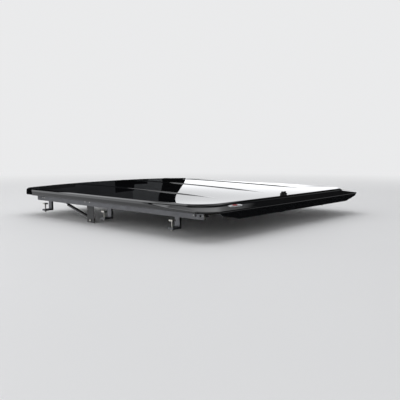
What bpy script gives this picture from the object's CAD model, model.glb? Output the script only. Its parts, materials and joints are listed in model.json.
"""Gloss black truck-bed lid with its liner, seals, gas struts, lock, badge and lamp.

The lid lies level: +X is right, +Y is forward towards the cab, +Z is up.
Lengths are in millimetres unless a comment says metres; meshes are scaled to metres when made.
"""
import json
import math

import bmesh
import bpy
import numpy as np
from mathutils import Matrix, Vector


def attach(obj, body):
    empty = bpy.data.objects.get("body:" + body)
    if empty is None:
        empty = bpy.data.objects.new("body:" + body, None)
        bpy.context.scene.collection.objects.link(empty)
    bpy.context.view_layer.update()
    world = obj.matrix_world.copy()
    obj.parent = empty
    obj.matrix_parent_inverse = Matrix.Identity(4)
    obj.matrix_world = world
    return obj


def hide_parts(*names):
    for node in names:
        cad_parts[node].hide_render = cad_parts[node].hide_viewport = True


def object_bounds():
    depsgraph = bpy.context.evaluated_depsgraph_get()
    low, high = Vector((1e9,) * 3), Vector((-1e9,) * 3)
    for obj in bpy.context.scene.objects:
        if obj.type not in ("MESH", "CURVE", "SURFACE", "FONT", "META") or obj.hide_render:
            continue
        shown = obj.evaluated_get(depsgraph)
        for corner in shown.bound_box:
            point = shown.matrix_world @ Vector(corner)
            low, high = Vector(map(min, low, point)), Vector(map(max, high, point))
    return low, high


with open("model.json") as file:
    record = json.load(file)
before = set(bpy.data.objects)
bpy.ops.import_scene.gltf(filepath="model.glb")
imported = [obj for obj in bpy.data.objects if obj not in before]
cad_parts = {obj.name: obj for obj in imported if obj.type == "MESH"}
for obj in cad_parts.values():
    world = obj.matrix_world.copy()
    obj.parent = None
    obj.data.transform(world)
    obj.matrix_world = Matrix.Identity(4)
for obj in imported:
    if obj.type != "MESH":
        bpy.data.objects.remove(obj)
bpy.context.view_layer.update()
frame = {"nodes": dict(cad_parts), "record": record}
NODES = frame["nodes"]
MM = 0.001

# ---------------------------------------------------------------- lid sizes, shared with the frame
HALF_WIDTH = 780.0
REAR = 1500.0           # the rear edge lies at y = -REAR
FRONT = 130.0           # the middle of the front edge
BOW = 25.0              # how far the front edge bows forward
CROWN = 66.5            # highest point of the middle line
SKIN = 4.0              # wall of the shell
SKIRT = 35.0            # the rear skirt hangs this far below z = 0
HEM_Z = 4.0             # hem height elsewhere
RIB_HEIGHT = 4.0
RIB_HALF_WIDTH = 12.0
RIB_CENTRES = (-450.0, 0.0, 450.0)
LATCH_Y = 115.0 - REAR

# Upper and lower outline of the shell: pairs are (lower, upper)
REAR_INSET = 90.0       # the upper outline lies this far inside the lower one
FRONT_INSET = 12.0
SIDE_INSET = 12.0
REAR_RADIUS_X = (95, 150)
REAR_RADIUS_Y = (95, 110)
FRONT_RADIUS = (45, 35)
EDGE_IN = 9.0           # the edge rounding starts this far inside the upper outline

# Edge profile: pairs are (along the sides, at the rear)
RISER_TOP = (0.83, 0.15)    # shares of the way from the upper to the lower outline
RISER_FOOT = (0.88, 0.18)
LEDGE_OUT = 0.93
TOP_DROP = 7                # drops below the top surface's edge
FOOT_DROP = (8, 13)
LEDGE_DROP = (13, 24)
LIP_DROP = (18, 28)
HEM_CHAMFER = 1.2
EDGE_RADII = (7, 2.6, 3.2, 9, 9, 1.4)

# Grid of the top surface
CORNER_STEPS = 9        # steps in each half of a corner
FRAME_STEPS = CORNER_STEPS + 1
COLUMN_END = 562
RIB_FLANK = 14          # the fine columns reach this far to each side of a rib
FIRST_ROW, LAST_ROW, ROW_STEP = -1245, -10.0, 19


# ---------------------------------------------------------------- lid surface
def ease(t):
    """Smooth step from 0 to 1."""
    t = min(1.0, max(0.0, t))
    return t * t * (3 - 2 * t)


def mix(a, b, t):
    return a + (b - a) * t


def dense(start, end, step):
    """Even stations from start up to, but not including, end."""
    count = max(1, int(round(abs(end - start) / step)))
    return [mix(start, end, k / count) for k in range(count)]


def crown_z(x, y):
    """Height of the smooth crowned surface, without ribs."""
    along = (y + REAR) / 1000 + 0.03        # metres from a line 30 mm behind the lid
    edge = 36 + 5.5 * along
    if along < 1.25:
        middle = CROWN - 30 * ((1.25 - along) / 1.1) ** 1.6
    else:
        middle = CROWN - 50 * (along - 1.25) ** 2
    across = min(1.0, abs(x) / (HALF_WIDTH - 10))
    return edge + (middle - edge) * (1 - across ** 2.2)


def rib_z(x, y):
    """Height of the three ribs, which fade out towards both ends."""
    fade = ease((y + REAR - 230) / 260) * ease((FRONT - 35 - y) / 60)
    rise = 0.0
    for centre in RIB_CENTRES:
        off = abs(x - centre) / RIB_HALF_WIDTH
        if off < 1:
            rise = max(rise, (0.5 + 0.5 * math.cos(math.pi * off)) ** 0.85)
    return RIB_HEIGHT * fade * rise


def top_z(x, y):
    return crown_z(x, y) + rib_z(x, y)


def rear_share(y):
    """0 along the sides, growing to 1 at the rear."""
    return ease((470 - REAR - y) / 300)


def outline_half_width(level, y):
    lower = HALF_WIDTH + 7 * ease((470 - REAR - y) / 350)
    upper = HALF_WIDTH - SIDE_INSET - 24 * rear_share(y)
    return mix(lower, upper, level)


def column_stations():
    """x of the grid columns: fine over the ribs, coarse between them."""
    stops = [centre - RIB_FLANK for centre in RIB_CENTRES] + [COLUMN_END]
    columns = dense(-COLUMN_END, stops[0], 24)
    for centre, stop, step in zip(RIB_CENTRES, stops[1:], (30, 30, 24)):
        columns += [centre + off for off in range(-RIB_FLANK, RIB_FLANK + 1, 2)]
        columns += dense(centre + RIB_FLANK, stop, step)[1:]
    return columns + [COLUMN_END]


COLUMNS = column_stations()
ROWS = dense(FIRST_ROW, LAST_ROW, ROW_STEP) + [LAST_ROW]
LAST_I = len(COLUMNS) + 2 * CORNER_STEPS + 1
LAST_J = len(ROWS) + 2 * CORNER_STEPS + 1

# Grid corners round the boundary, starting at the rear left
LOOP = [(i, 0) for i in range(LAST_I + 1)]
LOOP += [(LAST_I, j) for j in range(1, LAST_J + 1)]
LOOP += [(LAST_I - i, LAST_J) for i in range(1, LAST_I + 1)]
LOOP += [(0, LAST_J - j) for j in range(1, LAST_J)]


def outline_point(i, j, level):
    """Outline at a boundary corner of the grid; level 0 is the lower outline, 1 the upper."""
    from_side, from_end = min(i, LAST_I - i), min(j, LAST_J - j)
    side = -1 if i <= LAST_I / 2 else 1
    rear = j <= CORNER_STEPS
    rear_y = -REAR + REAR_INSET * level
    front_y = FRONT - BOW - FRONT_INSET * level
    if from_side == 0 and from_end > CORNER_STEPS:
        y = ROWS[j - FRAME_STEPS]
        return side * outline_half_width(level, y), y
    if from_side > CORNER_STEPS:
        x = COLUMNS[i - FRAME_STEPS]
        return x, rear_y if rear else front_y + BOW * (1 - (x / HALF_WIDTH) ** 2)

    turn = math.radians(45 * (CORNER_STEPS - from_end + from_side) / CORNER_STEPS)
    if rear:
        radius_x, radius_y = mix(*REAR_RADIUS_X, level), mix(*REAR_RADIUS_Y, level)
        width = outline_half_width(level, rear_y + radius_y)
        return (side * (width - radius_x * (1 - math.cos(turn))),
                rear_y + radius_y * (1 - math.sin(turn)))
    radius = mix(*FRONT_RADIUS, level)
    x = outline_half_width(level, front_y - radius) - radius * (1 - math.cos(turn))
    y = front_y - radius * (1 - math.sin(turn)) + BOW * (1 - (x / HALF_WIDTH) ** 2)
    return side * x, y


def rim_at(i, j):
    """Upper outline point, unit direction to the lower outline, and distance to it."""
    upper = np.array(outline_point(i, j, 1))
    run = np.array(outline_point(i, j, 0)) - upper
    reach = float(np.linalg.norm(run))
    return upper, run / reach, reach


RIM = {corner: rim_at(*corner) for corner in LOOP}
GRID_EDGE = {corner: upper - outward * EDGE_IN for corner, (upper, outward, _) in RIM.items()}


def grid_xy(i, j):
    """Place of a grid corner; the frame between stations and boundary is blended."""
    if (i, j) in GRID_EDGE:
        return GRID_EDGE[(i, j)]
    n = FRAME_STEPS
    from_side, from_end = min(i, LAST_I - i), min(j, LAST_J - j)
    left, rear = i <= LAST_I / 2, j < LAST_J / 2
    edge_i, edge_j = 0 if left else LAST_I, 0 if rear else LAST_J
    if from_side >= n and from_end >= n:
        return np.array([COLUMNS[i - n], ROWS[j - n]])
    if from_side >= n:
        edge = GRID_EDGE[(i, edge_j)]
        return np.array([COLUMNS[i - n], mix(edge[1], ROWS[0 if rear else -1], from_end / n)])
    if from_end >= n:
        edge = GRID_EDGE[(edge_i, j)]
        share = from_side / n
        return np.array([mix(edge[0], COLUMNS[0 if left else -1], share),
                         mix(edge[1], ROWS[j - n], share)])

    # Corner patch: a Coons blend of its four edges
    in_i, in_j = n if left else LAST_I - n, n if rear else LAST_J - n
    u, v = from_side / n, from_end / n
    outer = GRID_EDGE[(edge_i, edge_j)]
    end_corner = GRID_EDGE[(in_i, edge_j)]
    side_corner = GRID_EDGE[(edge_i, in_j)]
    inner = np.array([COLUMNS[in_i - n], ROWS[in_j - n]])
    inner_column = np.array([inner[0], mix(end_corner[1], inner[1], v)])
    inner_row = mix(side_corner, inner, u)
    edges = ((1 - u) * GRID_EDGE[(edge_i, j)] + u * inner_column
             + (1 - v) * GRID_EDGE[(i, edge_j)] + v * inner_row)
    corners = ((1 - u) * (1 - v) * outer + u * (1 - v) * end_corner
               + (1 - u) * v * side_corner + u * v * inner)
    return edges - corners


def round_corners(points, radii, steps=4):
    """Polyline with rounded corners; always the same number of points."""
    points = [np.array(p, float) for p in points]
    rounded = [points[0]]
    for before, corner, after, radius in zip(points, points[1:], points[2:], radii):
        length_in = np.linalg.norm(before - corner)
        length_out = np.linalg.norm(after - corner)
        back = (before - corner) / max(length_in, 1e-9)
        ahead = (after - corner) / max(length_out, 1e-9)
        turn = math.acos(float(np.clip(np.dot(-back, ahead), -1, 1)))
        cut = min(radius * math.tan(turn / 2) + 0.15, 0.46 * length_in, 0.46 * length_out)
        for k in range(steps + 1):
            s = k / steps
            rounded.append((1 - s) ** 2 * (corner + back * cut) + 2 * s * (1 - s) * corner
                           + s ** 2 * (corner + ahead * cut))
    rounded.append(points[-1])
    return rounded


def edge_profile(corner):
    """Hem height, and the edge's profile as (distance out from the upper outline, z)."""
    upper, outward, reach = RIM[corner]
    lower = upper + outward * reach
    rear = rear_share(0.5 * (upper[1] + lower[1]))
    edge = crown_z(*upper)
    skirt = ease((95 - REAR - lower[1]) / 60) * ease((715 - abs(lower[0])) / 60)
    hem = mix(HEM_Z, -SKIRT, skirt)
    points = [
        (-EDGE_IN, top_z(*GRID_EDGE[corner])),
        (0, edge),
        (mix(*RISER_TOP, rear) * reach, edge - TOP_DROP),
        (mix(*RISER_FOOT, rear) * reach, edge - mix(*FOOT_DROP, rear)),
        (LEDGE_OUT * reach, edge - mix(*LEDGE_DROP, rear)),
        (reach, edge - mix(*LIP_DROP, rear)),
        (reach, hem + HEM_CHAMFER),
        (reach - HEM_CHAMFER, hem),
    ]
    return hem, round_corners(points, EDGE_RADII)


# ---------------------------------------------------------------- mesh helpers
def make_object(name, verts, faces, materials, sharp_angle=None, smooth=True, unit=MM):
    """Cleaned mesh object; edges sharper than sharp_angle (degrees) stay crisp."""
    mesh = bpy.data.meshes.new(name)
    mesh.from_pydata((np.array(verts, float) * unit).tolist(), [], [tuple(f) for f in faces])
    mesh.validate(clean_customdata=False)
    mesh.update()
    obj = bpy.data.objects.new(name, mesh)
    bpy.context.scene.collection.objects.link(obj)
    bm = bmesh.new()
    bm.from_mesh(mesh)
    bmesh.ops.remove_doubles(bm, verts=bm.verts, dist=1e-6)
    bmesh.ops.dissolve_degenerate(bm, edges=bm.edges, dist=1e-7)
    bmesh.ops.recalc_face_normals(bm, faces=bm.faces)
    bm.to_mesh(mesh)
    bm.free()
    if smooth:
        for face in mesh.polygons:
            face.use_smooth = True
        if sharp_angle:
            mesh.set_sharp_from_angle(angle=math.radians(sharp_angle))
    for material in materials:
        mesh.materials.append(material)
    return obj


def band(first, second):
    """Quads between two closed rings of vertex numbers."""
    count = len(first)
    return [(first[k], first[(k + 1) % count], second[(k + 1) % count], second[k])
            for k in range(count)]


def stack_faces(rings):
    """Bands between successive rings, closed by a face at each end."""
    faces = []
    for lower, upper in zip(rings, rings[1:]):
        faces += band(lower, upper)
    return faces + [tuple(reversed(rings[0])), tuple(rings[-1])]


def sweep(name, path, section, material, sharp_angle=40):
    """Closed section of (offset right of the path, offset up) swept along an open path."""
    path = [np.array(p, float) for p in path]
    verts, faces = [], []
    last, count = len(path) - 1, len(section)
    for k, point in enumerate(path):
        tangent = path[min(k + 1, last)] - path[max(k - 1, 0)]
        tangent /= np.linalg.norm(tangent)
        right = np.cross(tangent, np.array((0, 0, 1), float))
        right /= np.linalg.norm(right)
        up = np.cross(right, tangent)
        verts += [point + right * off + up * rise for off, rise in section]
    for k in range(last):
        here, there = k * count, (k + 1) * count
        for c in range(count):
            d = (c + 1) % count
            faces.append((here + c, there + c, there + d, here + d))
    faces.append(tuple(range(count)))
    faces.append(tuple(last * count + c for c in reversed(range(count))))
    return make_object(name, verts, faces, [material], sharp_angle)


def wire(name, path, radius, sides, material):
    angles = [2 * math.pi * k / sides for k in range(sides)]
    section = [(radius * math.cos(a), radius * math.sin(a)) for a in angles]
    return sweep(name, path, section, material, sharp_angle=None)


def lathe(name, profile, origin, axis, sides, material, caps=True):
    """Turned piece from (distance along axis, radius); it may end in a point."""
    axis, origin = Vector(axis).normalized(), Vector(origin)
    across = axis.cross(Vector((1, 0, 0))).normalized()
    third = axis.cross(across)
    verts, faces, rings = [], [], []
    for distance, radius in profile:
        if radius < 1e-6:
            rings.append([len(verts)])
            verts.append(tuple(origin + axis * distance))
            continue
        rings.append(list(range(len(verts), len(verts) + sides)))
        for k in range(sides):
            a = 2 * math.pi * k / sides
            spoke = (across * math.cos(a) + third * math.sin(a)) * radius
            verts.append(tuple(origin + axis * distance + spoke))
    for first, second in zip(rings, rings[1:]):
        if len(second) == 1:
            faces += [(first[k], first[(k + 1) % sides], second[0]) for k in range(sides)]
        else:
            faces += band(first, second)
    if caps:
        faces.append(tuple(reversed(rings[0])))
        if len(rings[-1]) > 1:
            faces.append(tuple(rings[-1]))
    return make_object(name, verts, faces, [material], sharp_angle=35)


def put(obj, body, slot, *stand_ins):
    """Fix a piece to a body and a material slot, in place of the CAD pieces named."""
    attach(obj, body)
    if stand_ins:
        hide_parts(*stand_ins)


# ---------------------------------------------------------------- node helpers
class Nodes:
    """Short ways to add nodes to one node tree, which starts out empty."""

    def __init__(self, tree):
        self.tree = tree
        tree.nodes.clear()

    def feed(self, socket, value):
        """Link a socket to an input, or set the input's value; colours are given as RGB."""
        if isinstance(value, bpy.types.NodeSocket):
            self.tree.links.new(value, socket)
        elif socket.type == "RGBA":
            socket.default_value = (*value, 1.0)
        else:
            socket.default_value = value

    def wire(self, node, **inputs):
        """Feed inputs by name, with an underscore for each space."""
        for name, value in inputs.items():
            self.feed(node.inputs[name.replace("_", " ")], value)

    def add(self, kind, **inputs):
        node = self.tree.nodes.new("ShaderNode" + kind)
        self.wire(node, **inputs)
        return node

    def coords(self, scale=(1, 1, 1)):
        place = self.add("TexCoord").outputs["Object"]
        return self.add("Mapping", Scale=scale, Vector=place).outputs["Vector"]

    def noise(self, place, scale, detail, roughness=0.6):
        return self.add("TexNoise", Scale=scale, Detail=detail, Roughness=roughness,
                        Vector=place).outputs["Fac"]

    def ramp(self, value, *stops):
        """Colour ramp through stops of (position, RGB)."""
        node = self.add("ValToRGB", Fac=value)
        elements = node.color_ramp.elements
        for element, (position, color) in ((elements[0], stops[0]), (elements[1], stops[-1])):
            element.position = position
            element.color = (*color, 1.0)
        for position, color in stops[1:-1]:
            elements.new(position).color = (*color, 1.0)
        return node.outputs[0]

    def remap(self, value, span, to=(0.0, 1.0), smooth=False):
        node = self.add("MapRange", From_Min=span[0], From_Max=span[1],
                        To_Min=to[0], To_Max=to[1], Value=value)
        if smooth:
            node.interpolation_type = "SMOOTHSTEP"
        return node.outputs["Result"]

    def bump(self, height, strength, distance):
        return self.add("Bump", Strength=strength, Distance=distance,
                        Height=height).outputs["Normal"]

    def two_inputs(self, kind, operation, first, second):
        node = self.add(kind)
        node.operation = operation
        self.feed(node.inputs[0], first)
        self.feed(node.inputs[1], second)
        return node.outputs["Value"]

    def math(self, operation, first, second):
        return self.two_inputs("Math", operation, first, second)

    def vector_math(self, operation, first, second):
        return self.two_inputs("VectorMath", operation, first, second)

    def mix_color(self, share, first, second):
        node = self.add("Mix")
        node.data_type = "RGBA"
        # Inputs 6 and 7 and output 2 are the colour ones
        for index, value in ((0, share), (6, first), (7, second)):
            self.feed(node.inputs[index], value)
        return node.outputs[2]

    def mix_shader(self, share, first, second):
        node = self.add("MixShader")
        for index, value in enumerate((share, first, second)):
            self.feed(node.inputs[index], value)
        return node.outputs[0]

    def edge_mask(self, radius):
        """1 near edges, where bevelled and true normals differ; radius in metres."""
        bevelled = self.add("Bevel", Radius=radius)
        bevelled.samples = 4
        normal = self.add("NewGeometry").outputs["Normal"]
        likeness = self.vector_math("DOT_PRODUCT", bevelled.outputs[0], normal)
        return self.remap(likeness, span=(0.995, 0.86))


class Material(Nodes):
    """A material with one Principled shader."""

    def __init__(self, name):
        self.material = bpy.data.materials.new(name)
        self.material.use_nodes = True
        super().__init__(self.material.node_tree)
        self.output = self.add("OutputMaterial")
        self.bsdf = self.add("BsdfPrincipled")
        self.wire(self.output, Surface=self.bsdf.outputs[0])

    def finish(self, **inputs):
        self.wire(self.bsdf, **inputs)
        return self.material


def tint(color, gain, lift=0.0):
    return tuple(min(1.0, c * gain + lift) for c in color)


# ---------------------------------------------------------------- materials
# Noise scales are per metre; bump distances are in metres.
def black_paint():
    """Black paint under polished clear coat, with thin dust on level faces."""
    m = Material("gloss_black_clearcoat")
    place = m.coords()
    dust = m.noise(place, scale=4.0, detail=6)
    grain = m.noise(place, scale=900.0, detail=2, roughness=0.5)
    dust_share = m.remap(dust, span=(0.45, 0.85), to=(0.0, 0.018))
    normal = m.add("NewGeometry").outputs["Normal"]
    level = m.remap(m.add("SeparateXYZ", Vector=normal).outputs["Z"], span=(0.5, 1.0))
    veil = m.math("MULTIPLY", dust_share, level)
    color = m.mix_color(veil, (0.0040, 0.0042, 0.0048), (0.13, 0.125, 0.115))
    wiping = m.noise(place, scale=34.0, detail=4)
    ripple = m.noise(place, scale=70.0, detail=1, roughness=0.4)
    return m.finish(
        Base_Color=color,
        Roughness=m.remap(dust, span=(0.3, 0.8), to=(0.16, 0.26)),
        Specular_IOR_Level=0.0,
        Coat_Weight=1.0,
        Coat_IOR=1.56,
        Coat_Roughness=m.remap(wiping, span=(0.35, 0.75), to=(0.008, 0.026)),
        Coat_Normal=m.bump(ripple, strength=0.012, distance=0.0004),
        Normal=m.bump(grain, strength=0.02, distance=0.0001))


def plastic(name, color, roughness, grain_scale, grain_strength, wear,
            grain_depth=0.0003, specular=0.45):
    """Grained plastic, paler along worn edges."""
    m = Material(name)
    place = m.coords()
    clouds = m.noise(place, scale=14.0, detail=5)
    grain = m.add("TexVoronoi", Scale=grain_scale, Vector=place).outputs["Distance"]
    base = m.ramp(clouds, (0.3, tint(color, 0.75)), (0.7, tint(color, 1.35, lift=0.004)))
    worn = m.math("MULTIPLY", m.edge_mask(radius=0.0012), wear)
    return m.finish(
        Base_Color=m.mix_color(worn, base, tint(color, 2.2, lift=0.05)),
        Roughness=m.remap(clouds, span=(0.3, 0.7), to=(roughness - 0.06, roughness + 0.08)),
        Normal=m.bump(grain, strength=grain_strength, distance=grain_depth),
        Specular_IOR_Level=specular)


def metal(name, color, roughness, scratch, wear, stretch=(1, 1, 1), spots=0.0):
    """Bare metal with fine lines, brighter edges and, if asked for, dull spots."""
    m = Material(name)
    lines = m.noise(m.coords(stretch), scale=900.0, detail=2)
    place = m.coords()
    clouds = m.noise(place, scale=22.0, detail=5)
    base = m.ramp(clouds, (0.32, tint(color, 0.86)), (0.68, tint(color, 1.06)))
    if spots:
        spotting = m.noise(place, scale=160.0, detail=3, roughness=0.7)
        spotted = m.remap(spotting, span=(0.62, 0.74), to=(0.0, spots))
        base = m.mix_color(spotted, base, (0.42, 0.40, 0.35))
    worn = m.math("MULTIPLY", m.edge_mask(radius=0.001), wear)
    return m.finish(
        Base_Color=m.mix_color(worn, base, tint(color, 1.25, lift=0.05)),
        Metallic=1.0,
        Roughness=m.remap(lines, span=(0.3, 0.7),
                          to=(max(0.04, roughness - 0.08), roughness + 0.10)),
        Normal=m.bump(lines, strength=scratch, distance=0.00025))


def powder_coat(name, color, roughness):
    """Powder coat, chipped to bare metal along the edges."""
    m = Material(name)
    place = m.coords()
    grain = m.noise(place, scale=700.0, detail=2, roughness=0.5)
    clouds = m.noise(place, scale=18.0, detail=5)
    edges = m.edge_mask(radius=0.0009)
    chips = m.noise(place, scale=240.0, detail=4, roughness=0.7)
    chipped = m.math("MULTIPLY", edges, m.remap(chips, span=(0.50, 0.62)))
    base = m.ramp(clouds, (0.3, tint(color, 0.8)), (0.7, tint(color, 1.25)))
    return m.finish(
        Base_Color=m.mix_color(chipped, base, (0.35, 0.35, 0.34)),
        Metallic=chipped,
        Roughness=m.remap(clouds, span=(0.3, 0.7), to=(roughness - 0.05, roughness + 0.08)),
        Normal=m.bump(grain, strength=0.22, distance=0.0004))


def rubber():
    m = Material("epdm_rubber")
    place = m.coords()
    grain = m.noise(place, scale=500.0, detail=3)
    clouds = m.noise(place, scale=9.0, detail=6, roughness=0.65)
    return m.finish(
        Base_Color=m.ramp(clouds, (0.32, (0.010, 0.010, 0.0105)), (0.58, (0.018, 0.018, 0.018)),
                          (0.8, (0.045, 0.043, 0.040))),
        Roughness=m.remap(clouds, span=(0.3, 0.75), to=(0.52, 0.80)),
        Normal=m.bump(grain, strength=0.3, distance=0.0004),
        Sheen_Weight=0.15,
        Sheen_Roughness=0.5)


def frosted_lens():
    m = Material("frosted_lens")
    place = m.coords()
    waves = m.add("TexWave", Scale=110.0, Vector=place)
    waves.wave_type = "BANDS"
    waves.bands_direction = "X"
    clouds = m.noise(place, scale=30.0, detail=4)
    return m.finish(
        Base_Color=m.ramp(clouds, (0.3, (0.80, 0.80, 0.77)), (0.7, (0.92, 0.92, 0.90))),
        Roughness=0.22,
        Transmission_Weight=0.55,
        IOR=1.5,
        Normal=m.bump(waves.outputs["Fac"], strength=0.5, distance=0.0008))


def circuit_board():
    m = Material("circuit_board")
    place = m.coords()
    tracks = m.add("TexBrick", Scale=180.0, Color1=(0.02, 0.16, 0.06),
                   Color2=(0.03, 0.22, 0.08), Mortar=(0.10, 0.30, 0.12), Vector=place)
    clouds = m.noise(place, scale=60.0, detail=3)
    return m.finish(
        Base_Color=tracks.outputs["Color"],
        Roughness=m.remap(clouds, span=(0.3, 0.7), to=(0.25, 0.4)),
        Normal=m.bump(tracks.outputs["Fac"], strength=0.3, distance=0.0003))


def red_enamel():
    m = Material("badge_enamel")
    clouds = m.noise(m.coords(), scale=90.0, detail=4)
    return m.finish(
        Base_Color=m.ramp(clouds, (0.3, (0.26, 0.003, 0.005)), (0.7, (0.36, 0.005, 0.008))),
        Roughness=0.42,
        Specular_IOR_Level=0.15,
        Coat_Weight=0.25,
        Coat_Roughness=0.12,
        Normal=m.bump(clouds, strength=0.05, distance=0.0003))


def satin_silver():
    m = Material("badge_satin_silver")
    brushing = m.noise(m.coords(scale=(1, 14, 14)), scale=500.0, detail=3)
    clouds = m.noise(m.coords(), scale=40.0, detail=4)
    return m.finish(
        Base_Color=m.ramp(clouds, (0.3, (0.66, 0.66, 0.68)), (0.7, (0.80, 0.80, 0.81))),
        Metallic=0.35,
        Coat_Weight=0.4,
        Coat_Roughness=0.08,
        Roughness=m.remap(brushing, span=(0.3, 0.7), to=(0.36, 0.52)),
        Normal=m.bump(brushing, strength=0.08, distance=0.0002))


def phosphor():
    m = Material("emitter_phosphor")
    clouds = m.noise(m.coords(), scale=300.0, detail=3)
    return m.finish(
        Base_Color=m.ramp(clouds, (0.3, (0.75, 0.62, 0.16)), (0.7, (0.85, 0.74, 0.28))),
        Roughness=m.remap(clouds, span=(0.3, 0.7), to=(0.25, 0.4)),
        Normal=m.bump(clouds, strength=0.1, distance=0.0002))


FINISHES = {
    "gloss_black_paint": black_paint(),
    "liner_black": plastic(
        "liner_grained_black", color=(0.020, 0.020, 0.021), roughness=0.58,
        grain_scale=420.0, grain_strength=0.55, grain_depth=0.0007, wear=0.15),
    "rail_aluminium": metal(
        "dark_anodised_aluminium", color=(0.15, 0.152, 0.16), roughness=0.40,
        stretch=(1, 0.02, 1), scratch=0.10, wear=0.25),
    "zinc_steel": metal(
        "zinc_plated_steel", color=(0.62, 0.61, 0.56), roughness=0.34,
        scratch=0.18, wear=0.35, spots=0.35),
    "bracket_black": powder_coat(
        "black_powder_coat", color=(0.018, 0.018, 0.019), roughness=0.44),
    "rubber_seal": rubber(),
    "lock_black": plastic(
        "lock_satin_black", color=(0.006, 0.006, 0.0065), roughness=0.40,
        grain_scale=1500.0, grain_strength=0.10, wear=0.3, specular=0.22),
    "key_chrome": metal(
        "polished_chrome", color=(0.80, 0.80, 0.81), roughness=0.16, scratch=0.04, wear=0.2),
    "strut_black": powder_coat(
        "strut_black_paint", color=(0.010, 0.010, 0.011), roughness=0.30),
    "strut_chrome": metal(
        "hard_chrome_rod", color=(0.80, 0.80, 0.81), roughness=0.12, scratch=0.03, wear=0.1),
    "nylon_black": plastic(
        "moulded_black_nylon", color=(0.017, 0.017, 0.018), roughness=0.46,
        grain_scale=1100.0, grain_strength=0.2, wear=0.25),
    "bush_nylon": plastic(
        "natural_nylon", color=(0.62, 0.59, 0.50), roughness=0.45,
        grain_scale=900.0, grain_strength=0.12, wear=0.1),
    "lens_clear": frosted_lens(),
    "board_green": circuit_board(),
}
ENAMEL = red_enamel()
SATIN = satin_silver()
PHOSPHOR = phosphor()

for part in frame["record"]["subparts"]:
    node = NODES[part["node"]]
    finish = FINISHES[part["material_slot"]]
    if node.material_slots:
        for material_slot in node.material_slots:
            material_slot.link = "OBJECT"
            material_slot.material = finish
    else:
        node.data.materials.append(finish)


# ---------------------------------------------------------------- lid shell
def shell_skin(verts, profiles, inset):
    """Add one face of the shell, moved in and down; return its grid and its edge rings."""
    grid = {}
    for j in range(LAST_J + 1):
        for i in range(LAST_I + 1):
            x, y = grid_xy(i, j)
            z = top_z(x, y) - inset
            if (i, j) in RIM:
                outward = RIM[(i, j)][1]
                x, y = x - outward[0] * inset, y - outward[1] * inset
            grid[(i, j)] = len(verts)
            verts.append((x, y, z))
    rings = [[grid[corner] for corner in LOOP]]
    for n in range(1, len(profiles[0][1])):
        rings.append(list(range(len(verts), len(verts) + len(LOOP))))
        for corner, (hem, profile) in zip(LOOP, profiles):
            upper, outward, _ = RIM[corner]
            out, z = profile[n]
            x, y = upper + outward * (out - inset)
            verts.append((x, y, max(z - inset, hem)))
    return grid, rings


def lid_shell():
    verts, faces = [], []
    profiles = [edge_profile(corner) for corner in LOOP]
    outer_grid, outer_rings = shell_skin(verts, profiles, 0.0)
    inner_grid, inner_rings = shell_skin(verts, profiles, SKIN)
    for j in range(LAST_J):
        for i in range(LAST_I):
            corners = ((i, j), (i + 1, j), (i + 1, j + 1), (i, j + 1))
            faces.append([outer_grid[c] for c in corners])
            faces.append([inner_grid[c] for c in reversed(corners)])
    for n in range(len(outer_rings) - 1):
        outer_band = band(outer_rings[n + 1], outer_rings[n])
        inner_band = band(inner_rings[n + 1], inner_rings[n])
        for outer_face, inner_face in zip(outer_band, inner_band):
            faces += [outer_face, inner_face[::-1]]
    for a, b, c, d in band(outer_rings[-1], inner_rings[-1]):
        faces.append((b, a, d, c))
    return make_object("lid_shell", verts, faces, [FINISHES["gloss_black_paint"]],
                       sharp_angle=38)


put(lid_shell(), "lid", "gloss_black_paint", "outer_shell")

# ---------------------------------------------------------------- inner liner
LINER_HALF_WIDTH = HALF_WIDTH - 36
LINER_REAR, LINER_FRONT = 84 - REAR, 78.0
LINER_RADIUS = 110.0
LINER_Z, LINER_WALL = 12.0, 2.9
LINER_COLUMNS, LINER_ROW_STEP = 232, 5.5
PANEL_ROWS = ((-1236, -899), (-861, -449), (-411, 6))       # y from, y to
PANEL_COLUMNS = ((-654, -14), (14, 654))                    # x from, x to
PANEL_RADIUS, PANEL_RISE, PANEL_SLOPE = 34, 11.0, 16.0
FLUTE_INSET, FLUTE_HALF_PITCH, FLUTE_DEPTH, FLUTE_FADE = 26, 26.0, 1.6, 20

# Panels as (centre x, centre y, half width, half length)
PANELS = [((x0 + x1) / 2, (y0 + y1) / 2, (x1 - x0) / 2, (y1 - y0) / 2)
          for y0, y1 in PANEL_ROWS for x0, x1 in PANEL_COLUMNS]


def panel_distance(x, y, panel):
    """Signed distance to a panel's rounded outline, negative inside."""
    centre_x, centre_y, half_x, half_y = panel
    dx = abs(x - centre_x) - (half_x - PANEL_RADIUS)
    dy = abs(y - centre_y) - (half_y - PANEL_RADIUS)
    return math.hypot(max(dx, 0), max(dy, 0)) + min(max(dx, dy), 0) - PANEL_RADIUS


def liner_z(x, y):
    z = LINER_Z
    for panel in PANELS:
        inside = -panel_distance(x, y, panel)
        z = max(z, LINER_Z + PANEL_RISE * ease(inside / PANEL_SLOPE))
        if inside > FLUTE_INSET:        # shallow fluting across the panel
            wave = max(0.0, math.cos((y - panel[1]) * math.pi / FLUTE_HALF_PITCH))
            z -= FLUTE_DEPTH * wave ** 3 * ease((inside - FLUTE_INSET) / FLUTE_FADE)
    return z


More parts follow.
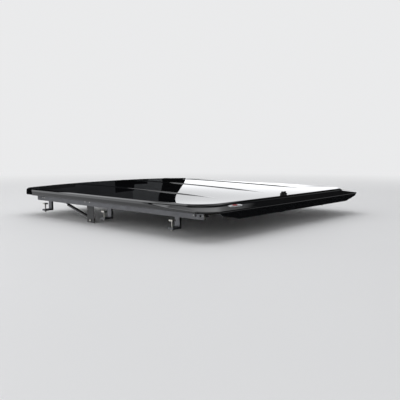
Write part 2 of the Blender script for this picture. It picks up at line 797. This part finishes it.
def liner():
    """One moulded sheet with six pressed panels."""
    radius = LINER_RADIUS
    arc = [radius * (1 - math.cos(math.radians(a))) for a in range(0, 91, 6)]
    rows = [LINER_REAR + a for a in arc] + [LINER_FRONT - a for a in arc]
    rows += dense(LINER_REAR + radius, LINER_FRONT - radius, LINER_ROW_STEP)
    rows = sorted({round(y, 3) for y in rows})
    last_i, last_j = LINER_COLUMNS, len(rows) - 1
    verts, faces = [], []
    for y in rows:
        into_corner = max(LINER_REAR + radius - y, y - LINER_FRONT + radius, 0)
        half = (LINER_HALF_WIDTH - radius
                + math.sqrt(max(0, radius * radius - into_corner ** 2)))
        for i in range(last_i + 1):
            x = -half + 2 * half * i / last_i
            z = liner_z(x, y)
            verts += [(x, y, z), (x, y, z + LINER_WALL)]

    def low(i, j):
        return 2 * (j * (last_i + 1) + i)

    def top(i, j):
        return low(i, j) + 1

    for j in range(last_j):
        for i in range(last_i):
            faces.append((low(i, j), low(i, j + 1), low(i + 1, j + 1), low(i + 1, j)))
            faces.append((top(i, j), top(i + 1, j), top(i + 1, j + 1), top(i, j + 1)))
    for i in range(last_i):
        for a, b, j in ((i, i + 1, 0), (i + 1, i, last_j)):
            faces.append((low(a, j), low(b, j), top(b, j), top(a, j)))
    for j in range(last_j):
        for i, a, b in ((0, j + 1, j), (last_i, j, j + 1)):
            faces.append((low(i, a), low(i, b), top(i, b), top(i, a)))
    return make_object("liner_moulding", verts, faces, [FINISHES["liner_black"]],
                       sharp_angle=40)


put(liner(), "lid", "liner_black", "inner_liner")

# ---------------------------------------------------------------- seals
SEAL_X, SEAL_Y, SEAL_RADIUS = HALF_WIDTH - 40, -4.0, 26.0       # centreline of the bulb seal
SEAL_REAR = 160 - REAR
SEAL_LEG_END, SEAL_MIDDLE_END = 545.5, 494.5                    # x on each side of a gap
BULB_RADIUS, BULB_Z = 3.0, 8.35
SKIRT_SEAL_HALF, SKIRT_SEAL_Y = 660, 15 - REAR

# Skirt seal section: (offset to the rear, z)
SKIRT_SECTION = [
    (-5, 4), (-2, 4), (-2, -6), (0.5, -8), (3.6, -11), (4.8, -15),
    (4.4, -20), (2.2, -24.5), (-1, -27.4), (-4, -28), (-5, -26),
]


def bulb_section():
    """Round bulb under a flat flange."""
    points = [(-4, 11.9), (4, 11.9), (4, 10.9), (2.2, 10.4)]
    for k in range(15):
        a = math.radians(60 - 300 * k / 14)
        points.append((BULB_RADIUS * math.cos(a), BULB_Z + BULB_RADIUS * math.sin(a)))
    return points + [(-2.2, 10.4), (-4, 10.9)]


def seal_leg(side):
    """Forward along one side, round the front corner and inwards."""
    corner_x, corner_y = SEAL_X - SEAL_RADIUS, SEAL_Y - SEAL_RADIUS
    points = [(SEAL_X, y) for y in np.arange(SEAL_REAR, corner_y, 14.0)]
    for degrees in range(0, 91, 10):
        a = math.radians(degrees)
        points.append((corner_x + SEAL_RADIUS * math.cos(a),
                       corner_y + SEAL_RADIUS * math.sin(a)))
    points += [(x, SEAL_Y) for x in np.linspace(corner_x - 10, SEAL_LEG_END, 12)]
    return [(side * x, y, 0) for x, y in points]


def straight_path(half_length, y, count):
    return [(x, y, 0) for x in np.linspace(-half_length, half_length, count)]


for name, path, section, stand_in in (
        ("bulb_seal_left", seal_leg(-1), bulb_section(), "perimeter_seal"),
        ("bulb_seal_right", seal_leg(1), bulb_section(), "perimeter_seal"),
        ("bulb_seal_middle", straight_path(SEAL_MIDDLE_END, SEAL_Y, 60), bulb_section(),
         "perimeter_seal"),
        ("skirt_seal", straight_path(SKIRT_SEAL_HALF, SKIRT_SEAL_Y, 57), SKIRT_SECTION,
         "tailgate_seal")):
    seal = sweep(name, path, section, FINISHES["rubber_seal"])
    put(seal, "lid", "rubber_seal", stand_in)

# ---------------------------------------------------------------- CAD metalwork: broken edges
# (bevel width in metres, segments, pieces)
BROKEN_EDGES = (
    (0.0006, 2, (
        "side_rail_left", "side_rail_right", "header_rail", "rail_clamps", "stiffener_frame",
        "corner_brackets", "clamp_jaws", "hinge_base_left", "hinge_base_right",
        "hinge_leaf_left", "hinge_leaf_right", "strut_bracket_left", "strut_bracket_right",
        "strut_lug_left", "strut_lug_right", "striker_plates", "latch_guides")),
    (0.0016, 4, ("lock_base", "lock_handle")),
    (0.0003, 2, (
        "corner_bolts", "clamp_bolts", "bracket_bolts", "hinge_base_bolts", "leaf_screws",
        "lid_screws", "lock_nut", "cam_screw", "lock_rod_left", "lock_rod_right",
        "hinge_pins", "lock_cam", "latch_bolt_left", "latch_bolt_right")),
)


def bevel(obj, width, segments):
    modifier = obj.modifiers.new("edge", "BEVEL")
    modifier.width = width
    modifier.segments = segments
    modifier.limit_method = "ANGLE"
    modifier.angle_limit = math.radians(30)
    modifier.use_clamp_overlap = True
    modifier.harden_normals = False


for width, segments, names in BROKEN_EDGES:
    for name in names:
        bevel(NODES[name], width, segments)

# ---------------------------------------------------------------- gas struts
STRUT_X = 690.0
LOWER_Y, LOWER_Z = -520.0, -118.0       # centres of the end sockets
UPPER_Y, UPPER_Z = -170.0, -20.0
STRUT_LENGTH = math.hypot(UPPER_Y - LOWER_Y, UPPER_Z - LOWER_Z)
STRUT_AXIS = Vector((0.0, (UPPER_Y - LOWER_Y) / STRUT_LENGTH,
                     (UPPER_Z - LOWER_Z) / STRUT_LENGTH))
TUBE_MOUTH = STRUT_LENGTH - 96          # from the lower socket to the tube's upper end
CLIP_RADIUS, CLIP_WIRE, CLIP_TAIL, CLIP_OUT = 8.9, 0.6, 7, 1.5

# (distance from the lower socket, radius)
TUBE_FOOT = [(17.6, 6.2), (18, 8.3), (19.5, 8.9), (22, 9.3), (24, 9.5), (40, 9.5)]
# (distance past the mouth, radius): a shallow groove, then the rolled mouth
TUBE_END = [
    (-26, 9.5), (-25, 9.25), (-23, 8.9), (-21, 8.9), (-19, 9.25), (-18, 9.5), (-6, 9.5),
    (-3, 9.2), (-1, 8.2), (0, 6.8), (0, 5.3), (-3, 5.15), (-6, 5.15),
]
WIPER = [(-5, 5.15), (-5, 6.9), (0.6, 6.7), (1.1, 5.9), (1.1, 5.2)]


def from_mouth(profile):
    return [(TUBE_MOUTH + distance, radius) for distance, radius in profile]


def clip_path(socket, inward, side):
    """Arc over a socket's inner end with two straight tails; inward points along the strut."""
    up = Vector((0, -STRUT_AXIS.z, STRUT_AXIS.y))
    points = []
    for k in range(17):
        a = math.radians(-80 + 160 * k / 16)
        points.append(tuple(socket - STRUT_AXIS * inward * (CLIP_RADIUS * math.cos(a))
                            + up * (CLIP_RADIUS * math.sin(a))
                            + Vector((side * CLIP_OUT, 0, 0))))
    tail = STRUT_AXIS * inward * CLIP_TAIL
    return [tuple(Vector(points[0]) + tail)] + points + [tuple(Vector(points[-1]) + tail)]


for label, side in (("left", -1), ("right", 1)):
    strut = f"strut_{label}"
    lower_socket = Vector((side * STRUT_X, LOWER_Y, LOWER_Z))
    upper_socket = lower_socket + STRUT_AXIS * STRUT_LENGTH
    tube = lathe(f"{strut}_pressure_tube", TUBE_FOOT + from_mouth(TUBE_END), lower_socket,
                 STRUT_AXIS, 48, FINISHES["strut_black"])
    put(tube, f"{strut}_tube", "strut_black", f"strut_tube_{label}")
    wiper = lathe(f"{strut}_wiper", from_mouth(WIPER), lower_socket, STRUT_AXIS, 40,
                  FINISHES["rubber_seal"], caps=False)
    put(wiper, f"{strut}_tube", "rubber_seal")
    for end, socket, inward, body in (("lower", lower_socket, 1, "tube"),
                                      ("upper", upper_socket, -1, "rod")):
        clip = wire(f"{strut}_clip_{end}", clip_path(socket, inward, side), CLIP_WIRE, 10,
                    FINISHES["zinc_steel"])
        put(clip, f"{strut}_{body}", "zinc_steel")

# ---------------------------------------------------------------- badge
BADGE_X, BADGE_Y = -525.0, 55 - REAR
BADGE_HALF_X, BADGE_HALF_Y = 50.0, 15.0
BADGE_POWER = 0.55      # below 1 squares the ellipse up
MARK_BASE = 2.4         # domes and bars rise from here above the deck

# Plate layers: (share of half width, share of half length, height over the deck)
PLATE_LAYERS = [
    (1.0, 1.0, 0.0), (1.0, 1.0, 2.0), (0.988, 0.965, 2.7), (0.965, 0.90, 2.9),
    (0.945, 0.85, 2.6), (0.935, 0.82, 2.1), (0.62, 0.60, 2.3), (0.30, 0.3, 2.4),
]


def deck_z(x, y):
    """Height of the ledge along the rear edge."""
    upper_y = -REAR + REAR_INSET
    edge = crown_z(x, upper_y)
    start, end = RISER_FOOT[1] * REAR_INSET, LEDGE_OUT * REAR_INSET
    return mix(edge - FOOT_DROP[1], edge - LEDGE_DROP[1], (upper_y - y - start) / (end - start))


def add_boss(verts, faces, centre, half, layers, power, count):
    """Stack of rounded outlines standing on the deck, closed at both ends."""
    rings = []
    for share_x, share_y, height in layers:
        rings.append(list(range(len(verts), len(verts) + count)))
        for k in range(count):
            a = 2 * math.pi * k / count
            c, s = math.cos(a), math.sin(a)
            x = centre[0] + half[0] * share_x * math.copysign(abs(c) ** power, c)
            y = centre[1] + half[1] * share_y * math.copysign(abs(s) ** power, s)
            verts.append((x, y, deck_z(x, y) + height))
    faces += stack_faces(rings)


def badge_plate():
    """Plain rimmed plate: bright rim, satin field."""
    verts, faces = [], []
    add_boss(verts, faces, (BADGE_X, BADGE_Y), (BADGE_HALF_X, BADGE_HALF_Y), PLATE_LAYERS,
             BADGE_POWER, 96)
    plate = make_object("badge_rimmed", verts, faces, [FINISHES["key_chrome"], SATIN],
                        sharp_angle=50)
    for face in plate.data.polygons:
        centre = face.center * 1000
        spread = ((abs(centre.x - BADGE_X) / BADGE_HALF_X) ** (2 / BADGE_POWER)
                  + (abs(centre.y - BADGE_Y) / BADGE_HALF_Y) ** (2 / BADGE_POWER))
        face.material_index = 1 if spread < 0.62 and face.normal.z > 0.3 else 0
    return plate


def badge_mark():
    """Domed red oval with two plain bars behind it."""
    verts, faces = [], []
    # (centre offset, half size, rise, power)
    for offset, half, rise, power in (((0.0, 3.8), (19.0, 7.6), 2.0, 1.0),
                                      ((-25.0, -6.5), (14.0, 1.5), 0.6, 0.6),
                                      ((12.0, -6.5), (21.0, 1.5), 0.6, 0.6)):
        layers = [(1.0, 1.0, 1.9)]
        for share, lift in ((1.0, 0.3), (0.93, 0.75), (0.75, 0.95), (0.4, 1.0)):
            layers.append((share, share, MARK_BASE + rise * lift))
        centre = (BADGE_X + offset[0], BADGE_Y + offset[1])
        add_boss(verts, faces, centre, half, layers, power, 40)
    mark = make_object("badge_mark", verts, faces, [ENAMEL, FINISHES["lock_black"]],
                       sharp_angle=50)
    for face in mark.data.polygons:
        face.material_index = 0 if face.center.y * 1000 > BADGE_Y - 4.2 else 1
    return mark


put(badge_plate(), "lid", "key_chrome", "badge_plate")
put(badge_mark(), "lid", "key_chrome")

# ---------------------------------------------------------------- lock gasket
GASKET_TOP = 37.0 + 1.38
GASKET_HOLE = 11.15
GASKET_END_RADIUS, GASKET_HALF_STRAIGHT = 12.3, 13.0
GASKET_CLEARANCE, GASKET_LEAST = 0.03, 0.2      # gap over the lid; least thickness


def lock_gasket():
    """Slot-shaped ring with a round hole, moulded to the crown of the lid."""
    outer, inner = [], []
    for k in range(64):
        a = 2 * math.pi * k / 64
        c, s = math.cos(a), math.sin(a)
        shift = math.copysign(GASKET_HALF_STRAIGHT, c) if abs(c) > 1e-9 else 0.0
        outer.append((c * GASKET_END_RADIUS + shift, s * GASKET_END_RADIUS))
        inner.append((c * GASKET_HOLE, s * GASKET_HOLE))
    verts, faces, rings = [], [], []
    for points, on_top in ((outer, False), (outer, True), (inner, True), (inner, False)):
        rings.append(list(range(len(verts), len(verts) + len(points))))
        for x, off in points:
            y = LATCH_Y + off
            low = min(GASKET_TOP - GASKET_LEAST, top_z(x, y) + GASKET_CLEARANCE)
            verts.append((x, y, GASKET_TOP if on_top else low))
    for first, second in zip(rings, rings[1:] + rings[:1]):
        faces += band(first, second)
    return make_object("lock_gasket_moulded", verts, faces, [FINISHES["rubber_seal"]],
                       sharp_angle=40)


put(lock_gasket(), "lid", "rubber_seal", "lock_gasket")

# ---------------------------------------------------------------- lamp
LAMP_Y = -420.0
FLUTE_COUNT, FLUTE_FIRST_X, FLUTE_PITCH = 19, -27.0, 4.2
FLUTE_HALF_WIDTH, FLUTE_HALF_LENGTH, FLUTE_HEIGHT = 1.9, 21.5, 0.75
LENS_Z = -5.49
EMITTER_XS = (-12.0, 12.0, 36.0)
EMITTER_Z = 3.98
# (distance down, radius)
EMITTER = [(0.0, 4.4), (1.0, 4.4), (1.2, 3.9), (2.2, 3.4), (3.0, 2.2), (3.3, 0.0)]


def lamp_flutes():
    """Half-round flutes across the underside of the lens."""
    verts, faces = [], []
    steps = 8
    for n in range(FLUTE_COUNT):
        centre = FLUTE_FIRST_X + n * FLUTE_PITCH
        near = len(verts)
        far = near + steps + 1
        for y in (LAMP_Y - FLUTE_HALF_LENGTH, LAMP_Y + FLUTE_HALF_LENGTH):
            for k in range(steps + 1):
                a = math.pi * k / steps
                verts.append((centre + FLUTE_HALF_WIDTH * math.cos(a), y,
                              LENS_Z - FLUTE_HEIGHT * math.sin(a)))
        for k in range(steps):
            faces.append((near + k, near + k + 1, far + k + 1, far + k))
        faces.append(tuple(near + k for k in range(steps + 1)))
        faces.append(tuple(far + k for k in reversed(range(steps + 1))))
        faces.append((near, far, far + steps, near + steps))
    return make_object("lamp_flutes", verts, faces, [FINISHES["lens_clear"]], sharp_angle=50)


put(lamp_flutes(), "lid", "lens_clear")
for number, x in enumerate(EMITTER_XS, start=1):
    emitter = lathe(f"lamp_emitter_{number}", EMITTER, (x, LAMP_Y, EMITTER_Z), (0, 0, -1), 28,
                    PHOSPHOR)
    put(emitter, "lid", "lens_clear")

# ---------------------------------------------------------------- stage (metres from here on)
FLOOR_Z = float(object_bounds()[0][2]) - 0.0005
FLOOR_Y = -0.7              # centre of the round sweep
FLAT_RADIUS, CURVE_RADIUS, WALL_TOP = 6.5, 7.5, 13.0
CURVE_STEPS, SWEEP_SIDES = 24, 96
FLOOR_COLOR = (0.80, 0.80, 0.80)


def floor_material():
    """Pale floor that turns into an even glow away from the lid."""
    m = Material("studio_floor")
    clouds = m.noise(m.coords(), scale=1.2, detail=4, roughness=0.5)
    m.finish(
        Base_Color=m.ramp(clouds, (0.3, tint(FLOOR_COLOR, 0.985)), (0.7, FLOOR_COLOR)),
        Roughness=0.6,
        Specular_IOR_Level=0.2)
    distance = m.vector_math("DISTANCE", m.add("NewGeometry").outputs["Position"],
                             (0.0, FLOOR_Y, FLOOR_Z))
    glow = m.add("Emission", Color=(0.825, 0.828, 0.835)).outputs[0]
    share = m.remap(distance, span=(1.2, 6.5), smooth=True)
    m.wire(m.output, Surface=m.mix_shader(share, m.bsdf.outputs[0], glow))
    return m.material


def studio_floor():
    """One round sweep: flat floor, wide curve, wall."""
    profile = [(2.0, 0.0), (4.0, 0.0), (FLAT_RADIUS, 0.0)]      # (radius, height)
    for k in range(1, CURVE_STEPS + 1):
        a = math.radians(90 * k / CURVE_STEPS)
        profile.append((FLAT_RADIUS + CURVE_RADIUS * math.sin(a),
                        CURVE_RADIUS * (1 - math.cos(a))))
    profile.append((FLAT_RADIUS + CURVE_RADIUS, WALL_TOP))
    verts = [(0.0, FLOOR_Y, FLOOR_Z)]
    for radius, height in profile:
        for k in range(SWEEP_SIDES):
            a = 2 * math.pi * k / SWEEP_SIDES
            verts.append((radius * math.cos(a), FLOOR_Y + radius * math.sin(a),
                          FLOOR_Z + height))
    faces = [(0, 1 + k, 1 + (k + 1) % SWEEP_SIDES) for k in range(SWEEP_SIDES)]
    for ring in range(len(profile) - 1):
        start = 1 + ring * SWEEP_SIDES
        for k in range(SWEEP_SIDES):
            a, b = start + k, start + (k + 1) % SWEEP_SIDES
            faces.append((a, a + SWEEP_SIDES, b + SWEEP_SIDES, b))
    return make_object("studio_floor", verts, faces, [floor_material()], unit=1.0)


backdrop = studio_floor()
backdrop.visible_glossy = False     # the lacquer mirrors the world, not the backdrop

# Cards that only reflections see, standing ahead of the lid where a cab would be
CAB_SIDE = [
    (0.92, -0.03), (0.915, 0.10), (0.90, 0.17), (0.87, 0.23),
    (0.83, 0.29), (0.765, 0.35), (0.62, 0.52), (0.42, 0.68),
]
DARK = (0.0022, 0.0022, 0.0025)
# (name, y, colour, outline as (x, z))
CARDS = (
    ("flag_cab", 0.255, DARK, CAB_SIDE + [(-x, z) for x, z in reversed(CAB_SIDE)]),
    ("flag_glass", 0.250, (0.041, 0.042, 0.045), [
        (0.61, 0.05), (0.62, 0.16), (0.60, 0.26), (0.55, 0.33), (0.40, 0.55),
        (-0.40, 0.55), (-0.60, 0.33), (-0.70, 0.16), (-0.72, 0.05)]),
    ("flag_pane", 0.246, (0.085, 0.088, 0.092), [
        (0.28, 0.05), (0.606, 0.05), (0.615, 0.16), (0.595, 0.26), (0.545, 0.325),
        (0.26, 0.29)]),
    ("flag_seat_low", 0.242, DARK, [(0.08, 0.04), (0.44, 0.04), (0.43, 0.155), (0.08, 0.155)]),
    ("flag_seat_high", 0.242, DARK, [
        (0.08, 0.15), (0.285, 0.15), (0.275, 0.235), (0.075, 0.235)]),
    ("flag_seat_far", 0.242, (0.020, 0.020, 0.021), [
        (-0.60, 0.04), (-0.28, 0.04), (-0.30, 0.115), (-0.58, 0.115)]),
)


def reflection_card(name, y, color, outline):
    m = Material(name)
    clouds = m.noise(m.coords(), scale=2.0, detail=3, roughness=0.5)
    material = m.finish(
        Base_Color=m.ramp(clouds, (0.3, tint(color, 0.8)), (0.7, tint(color, 1.2))),
        Roughness=0.9,
        Specular_IOR_Level=0.0)
    card = make_object(name, [(x, y, z) for x, z in outline], [range(len(outline))],
                       [material], smooth=False, unit=1.0)
    card.visible_camera = False
    card.visible_diffuse = False
    card.visible_shadow = False
    card.visible_transmission = False


for card_spec in CARDS:
    reflection_card(*card_spec)


# ---------------------------------------------------------------- lights
def aimed_object(name, data, location, target):
    obj = bpy.data.objects.new(name, data)
    obj.location = location
    direction = Vector(target) - Vector(location)
    obj.rotation_euler = direction.to_track_quat("-Z", "Y").to_euler()
    bpy.context.scene.collection.objects.link(obj)
    return obj


def soft_light(name, location, target, size, power):
    """Square area light that reflections do not show."""
    light = bpy.data.lights.new(name, "AREA")
    light.energy = power
    light.shape = "RECTANGLE"
    light.size = size
    light.size_y = size
    aimed_object(name, light, location, target).visible_glossy = False


soft_light("overhead", location=(0.0, -0.5, 4.2), target=(0, -0.6, 0), size=5.0, power=78)
soft_light("left_soft", location=(-4.5, 0.5, 2.0), target=(0, -0.7, 0), size=3.0, power=30)


# ---------------------------------------------------------------- world
def reflected_brightness(nodes, direction):
    """Brightness that reflections see, from the x, y and z of a unit direction."""
    axes = nodes.add("SeparateXYZ", Vector=direction).outputs
    x, y, z = axes["X"], axes["Y"], axes["Z"]

    def fade(value, span, to=(0.0, 1.0)):
        return nodes.remap(value, span, to, smooth=True)

    def times(first, second):
        return nodes.math("MULTIPLY", first, second)

    def larger(first, second):
        return nodes.math("MAXIMUM", first, second)

    # Bright low wall ahead; its top edge falls away to the right
    rightward = larger(nodes.math("SUBTRACT", x, 0.60), 0.0)
    wall_height = nodes.math("ADD", z, times(rightward, 0.68))
    wall = times(fade(z, span=(-0.03, 0.01)),
                 fade(wall_height, span=(0.355, 0.385), to=(1.0, 0.0)))
    wall = times(times(wall, fade(y, span=(0.05, 0.35))),
                 times(fade(z, span=(0.06, 0.30), to=(1.80, 1.12)),
                       fade(z, span=(0.105, 0.165), to=(1.0, 0.70))))

    # Dimmer field above the wall, cut off to the left
    ahead_and_up = nodes.math("ADD", y, z)
    field = larger(fade(ahead_and_up, span=(0.86, 0.94), to=(0.22, 0.65)),
                   fade(z, span=(0.40, 0.55), to=(0.22, 0.65)))
    field = times(times(fade(z, span=(0.0, 0.05)), field),
                  fade(z, span=(0.60, 0.85), to=(1.0, 0.15)))
    field = times(field, times(fade(ahead_and_up, span=(0.805, 0.850)),
                               fade(x, span=(-0.40, -0.20))))

    # Round soft box up ahead, and a glow straight overhead
    box_direction = tuple(Vector((-0.10, 0.74, 0.66)).normalized())
    toward_box = nodes.vector_math("DOT_PRODUCT", direction, box_direction)
    soft_box = fade(toward_box, span=(0.90, 0.97), to=(0.0, 1.9))
    ceiling = fade(z, span=(0.72, 1.0), to=(0.0, 0.9))

    # Walls to the left and to the rear
    sides = larger(times(fade(x, span=(-0.45, -0.65)), fade(y, span=(0.35, 0.55), to=(1.0, 0.0))),
                   fade(y, span=(-0.10, -0.40), to=(0.0, 0.6)))
    sides = times(sides, times(fade(z, span=(0.0, 0.06)),
                               fade(z, span=(0.20, 0.50), to=(0.95, 0.05))))

    # Pale floor ahead
    ground = times(fade(z, span=(0.02, -0.05)), fade(y, span=(0.0, 0.65), to=(0.02, 0.9)))

    # Near and below the horizon, darker away from straight ahead
    horizon = larger(fade(z, span=(0.035, 0.085)), fade(y, span=(0.44, 0.52), to=(0.15, 1.0)))
    wall, ground = times(wall, horizon), times(ground, horizon)

    darkest = 0.010
    return larger(larger(larger(wall, field), soft_box),
                  larger(larger(ceiling, sides), larger(ground, darkest)))


def build_world():
    """Separate backgrounds for the camera, for diffuse light and for reflections."""
    world = bpy.data.worlds.new("studio")
    bpy.context.scene.world = world
    world.use_nodes = True
    nodes = Nodes(world.node_tree)
    output = nodes.add("OutputWorld")
    ray = nodes.add("LightPath").outputs
    direction = nodes.add("TexCoord").outputs["Generated"]
    brightness = reflected_brightness(nodes, direction)
    seen, diffuse, reflected = [
        nodes.add("Background", Color=color, Strength=strength).outputs[0]
        for color, strength in (((0.83, 0.84, 0.86), 1.0), ((0.93, 0.95, 1.0), 0.42),
                                ((0.97, 0.98, 1.0), brightness))]
    lighting = nodes.mix_shader(ray["Is Glossy Ray"], diffuse, reflected)
    nodes.wire(output, Surface=nodes.mix_shader(ray["Is Camera Ray"], lighting, seen))


build_world()

# ---------------------------------------------------------------- camera: low, rear left
camera_data = bpy.data.cameras.new("camera")
camera_data.sensor_width = 36
camera_data.lens = 45
camera_data.clip_end = 60
scene = bpy.context.scene
scene.camera = aimed_object("camera", camera_data, location=(-2.444, -2.928, 0.290),
                            target=(-0.13, -0.86, -0.02))
scene.view_settings.view_transform = "Standard"
scene.view_settings.look = "None"
